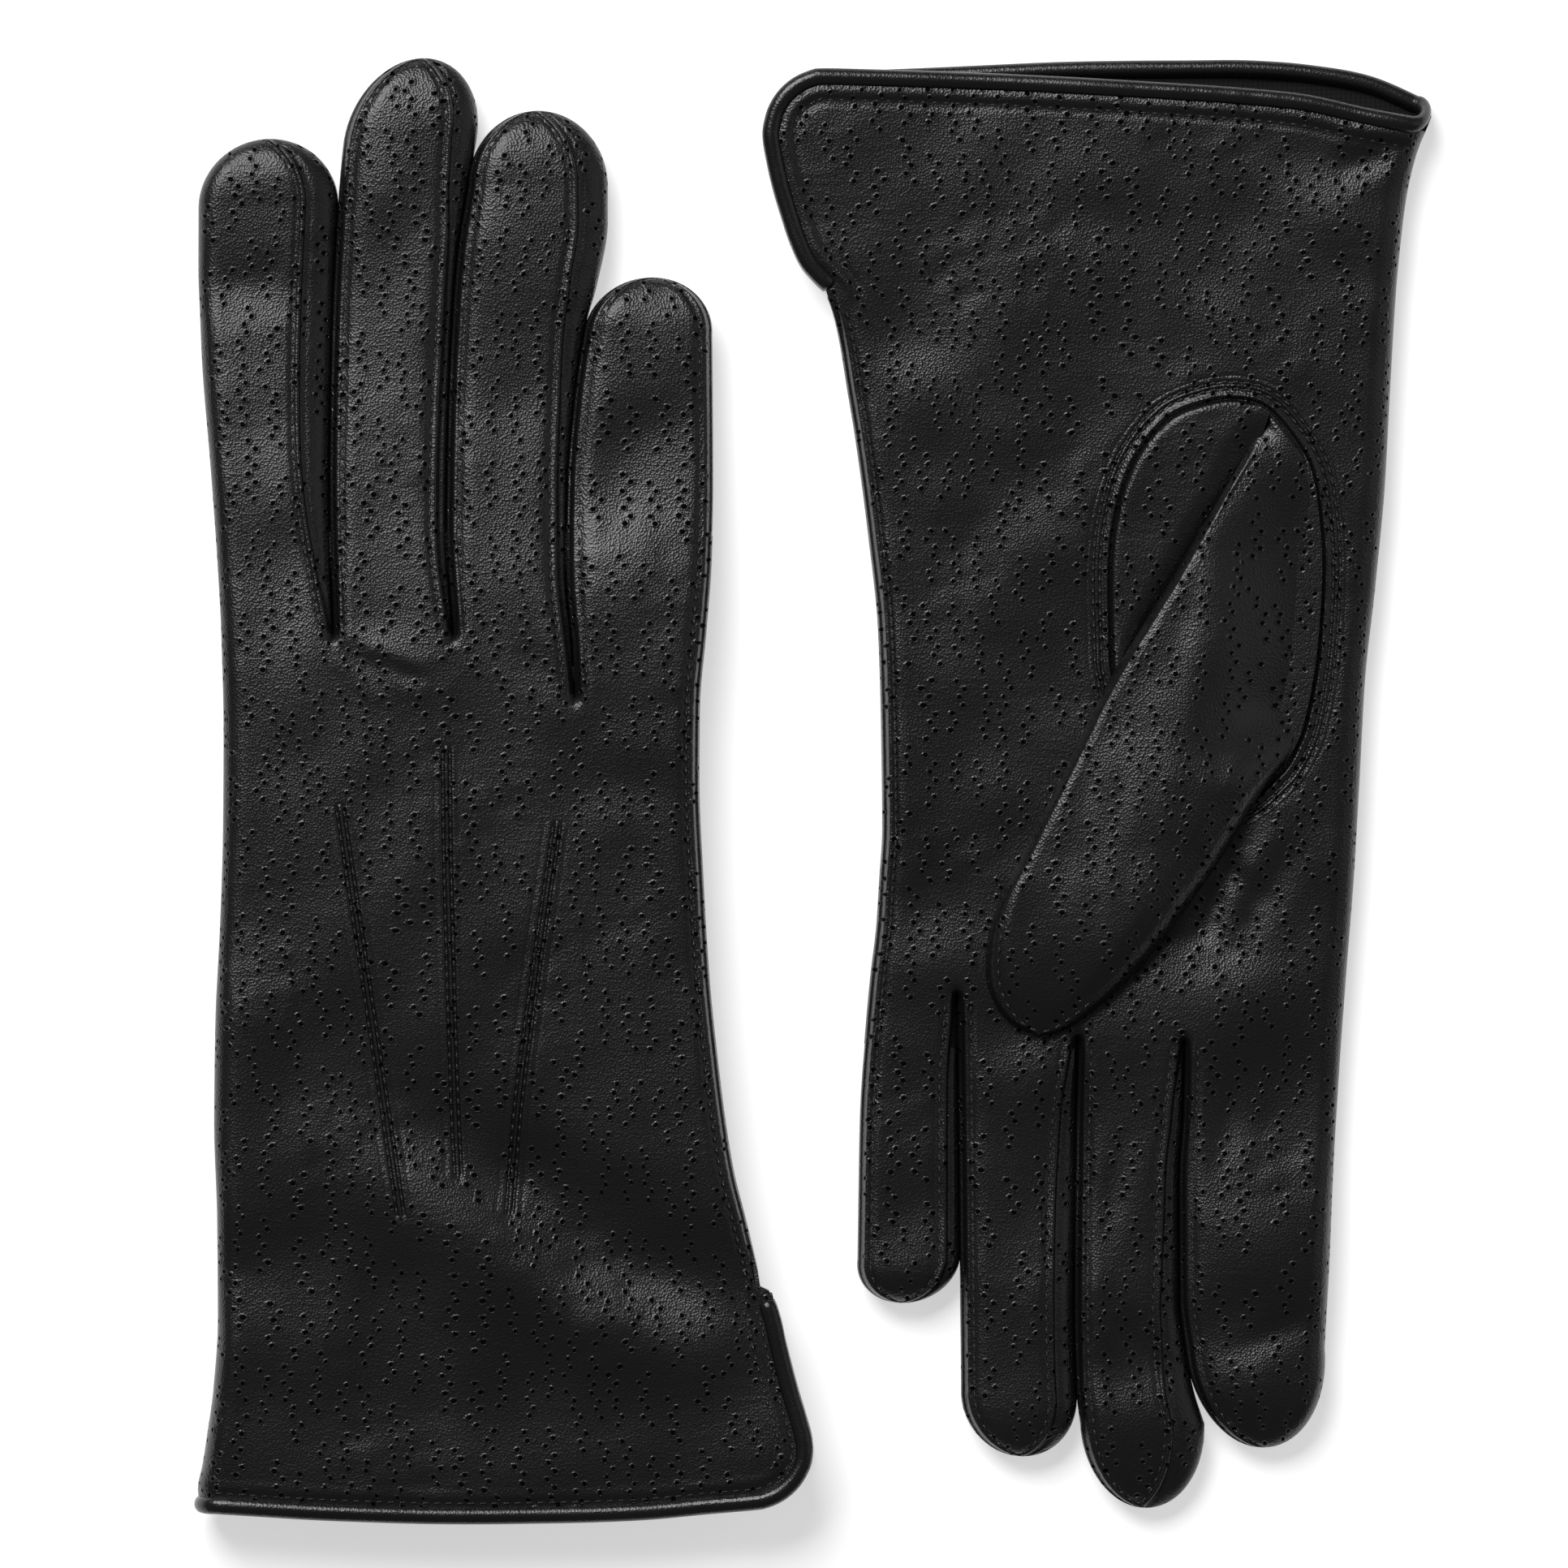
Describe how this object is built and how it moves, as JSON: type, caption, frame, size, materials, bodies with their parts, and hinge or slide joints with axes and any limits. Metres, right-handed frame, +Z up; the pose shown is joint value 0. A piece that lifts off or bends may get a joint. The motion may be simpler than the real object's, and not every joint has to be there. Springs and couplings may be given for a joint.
{
  "type": "pair of leather driving gloves",
  "caption": "Pair of unfastened leather gloves lying flat, one back up and one palm up, with folding fingers, opening thumbs, flared bound cuffs and side vents.",
  "frame": {"origin": "middle of the pair's box, on the table", "axes": "+Y towards the right glove's fingertips and the left glove's cuff, +X from the right glove to the left glove, +Z up from the table"},
  "size_m": [0.2105, 0.25, 0.0147],
  "materials": {
    "leather": "satin",
    "binding": "satin",
    "lining": "matte"
  },
  "bodies": {
    "right_hand": {"right_back": "leather", "right_palm": "leather", "right_fold": "leather", "right_side_seam": "leather", "right_back_lining": "lining", "right_palm_lining": "lining", "right_cuff_binding": "binding", "right_points": "leather", "right_quirks": "leather", "right_thumb_welt": "leather", "right_thumb_foot": "leather"},
    "right_index": {"right_index_back": "leather", "right_index_palm": "leather", "right_index_fold": "leather", "right_index_fourchette": "leather"},
    "right_middle": {"right_middle_back": "leather", "right_middle_palm": "leather", "right_middle_fourchettes": "leather"},
    "right_ring": {"right_ring_back": "leather", "right_ring_palm": "leather", "right_ring_fourchettes": "leather"},
    "right_little": {"right_little_back": "leather", "right_little_palm": "leather", "right_little_fourchette": "leather", "right_little_seam": "leather"},
    "right_thumb": {"right_thumb_outer": "leather", "right_thumb_inner": "leather", "right_thumb_side": "leather"},
    "left_hand": {"left_back": "leather", "left_palm": "leather", "left_fold": "leather", "left_side_seam": "leather", "left_back_lining": "lining", "left_palm_lining": "lining", "left_cuff_binding": "binding", "left_points": "leather", "left_quirks": "leather", "left_thumb_welt": "leather", "left_thumb_foot": "leather"},
    "left_index": {"left_index_back": "leather", "left_index_palm": "leather", "left_index_fold": "leather", "left_index_fourchette": "leather"},
    "left_middle": {"left_middle_back": "leather", "left_middle_palm": "leather", "left_middle_fourchettes": "leather"},
    "left_ring": {"left_ring_back": "leather", "left_ring_palm": "leather", "left_ring_fourchettes": "leather"},
    "left_little": {"left_little_back": "leather", "left_little_palm": "leather", "left_little_fourchette": "leather", "left_little_seam": "leather"},
    "left_thumb": {"left_thumb_outer": "leather", "left_thumb_inner": "leather", "left_thumb_side": "leather"}
  },
  "joints": [
    {"name": "right_index_curl", "type": "hinge", "parent": "right_hand", "child": "right_index", "pos_m": [-0.0935, 0.053, 0.0037], "axis": [-1, 0, 0], "range_deg": [-15, 80]},
    {"name": "right_middle_curl", "type": "hinge", "parent": "right_hand", "child": "right_middle", "pos_m": [-0.0705, 0.053, 0.0037], "axis": [-1, 0, 0], "range_deg": [-15, 80]},
    {"name": "right_ring_curl", "type": "hinge", "parent": "right_hand", "child": "right_ring", "pos_m": [-0.0495, 0.053, 0.0037], "axis": [-1, 0, 0], "range_deg": [-15, 80]},
    {"name": "right_little_curl", "type": "hinge", "parent": "right_hand", "child": "right_little", "pos_m": [-0.0295, 0.053, 0.0037], "axis": [-1, 0, 0], "range_deg": [-15, 80]},
    {"name": "right_thumb_open", "type": "hinge", "parent": "right_hand", "child": "right_thumb", "pos_m": [-0.0981, -0.03, 0.0065], "axis": [0, 1, 0], "range_deg": [0, 90]},
    {"name": "left_glove_lift", "type": "slide", "parent": "right_hand", "child": "left_hand", "axis": [0, 0, 1], "range_m": [0, 0.1]},
    {"name": "left_index_curl", "type": "hinge", "parent": "left_hand", "child": "left_index", "pos_m": [0.0758, -0.053, 0.0037], "axis": [-1, 0, 0], "range_deg": [-15, 80]},
    {"name": "left_middle_curl", "type": "hinge", "parent": "left_hand", "child": "left_middle", "pos_m": [0.0533, -0.053, 0.0037], "axis": [-1, 0, 0], "range_deg": [-15, 80]},
    {"name": "left_ring_curl", "type": "hinge", "parent": "left_hand", "child": "left_ring", "pos_m": [0.0338, -0.053, 0.0037], "axis": [-1, 0, 0], "range_deg": [-15, 80]},
    {"name": "left_little_curl", "type": "hinge", "parent": "left_hand", "child": "left_little", "pos_m": [0.0158, -0.053, 0.0037], "axis": [-1, 0, 0], "range_deg": [-15, 80]},
    {"name": "left_thumb_open", "type": "hinge", "parent": "left_hand", "child": "left_thumb", "pos_m": [0.0894, 0.03, 0.0078], "axis": [0, 1, 0], "range_deg": [0, 90]}
  ]
}
